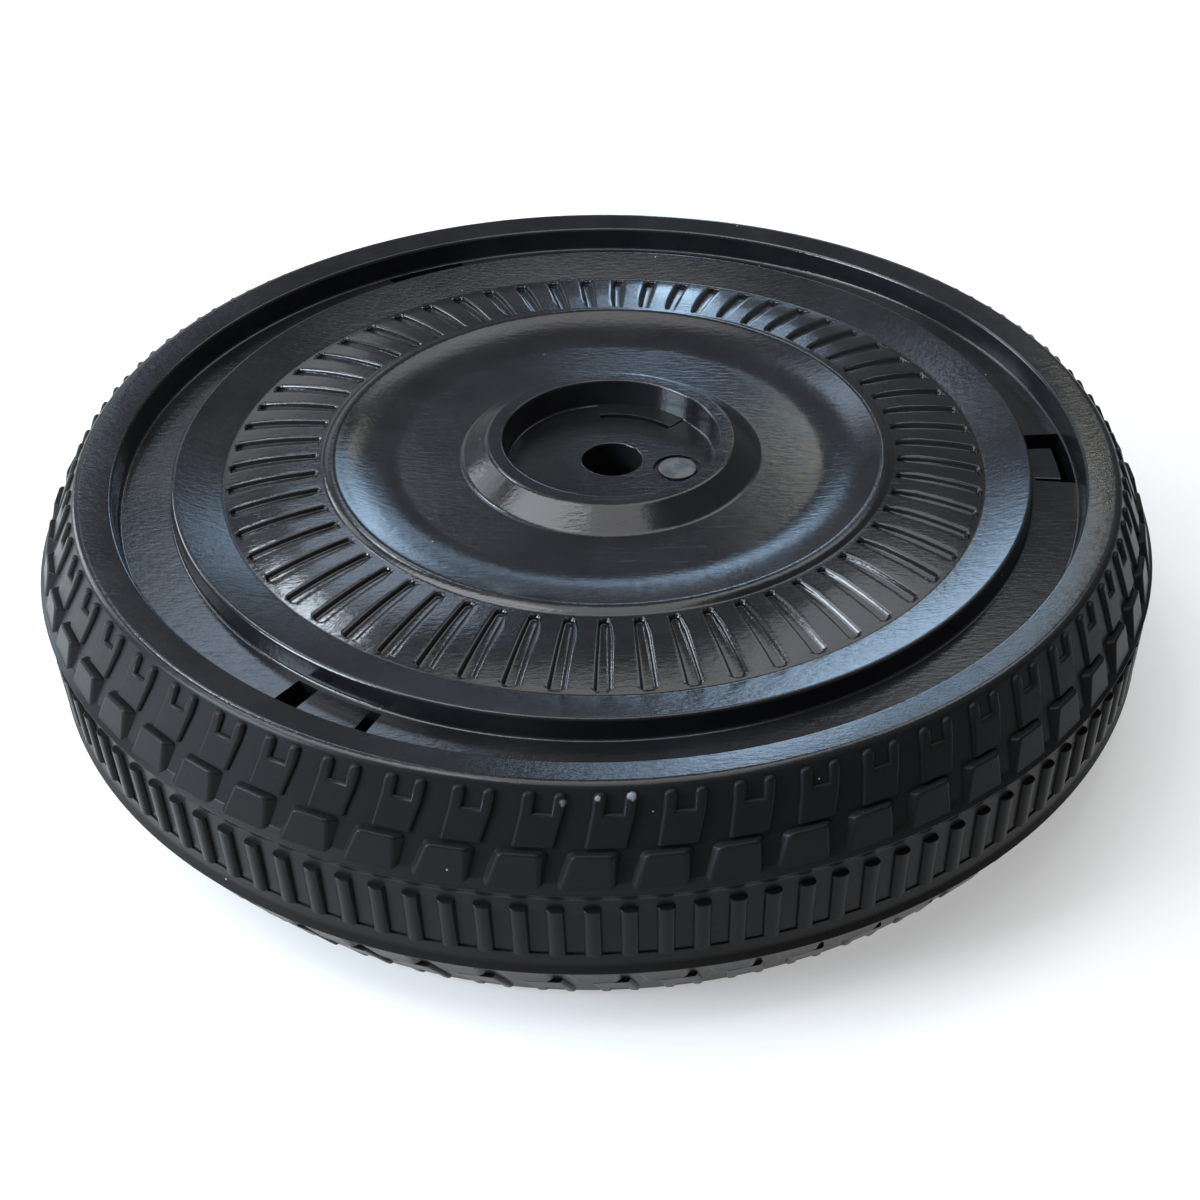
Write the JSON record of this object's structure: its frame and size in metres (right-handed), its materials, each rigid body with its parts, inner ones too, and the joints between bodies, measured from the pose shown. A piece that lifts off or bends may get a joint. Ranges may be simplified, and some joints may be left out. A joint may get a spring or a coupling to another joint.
{
  "type": "ride-on toy wheel",
  "caption": "Black moulded plastic wheel of a ride-on toy car: lugged tread, brake-disc style face with radial slots, clip windows for a cover, and a plain axle bore in a round hub well.",
  "frame": {"origin": "on the axle bore's axis, in the middle of the wheel's width", "axes": "+Z along the axle out of the decorated face, -Y towards the viewer of the picture, +X to its right"},
  "size_m": [0.2266, 0.2266, 0.05],
  "materials": {
    "black_plastic": "satin moulded",
    "screw_steel": "zinc plated"
  },
  "bodies": {
    "root": {"front_shell": "black_plastic", "rear_shell": "black_plastic", "shell_screws": "screw_steel"}
  },
  "joints": []
}
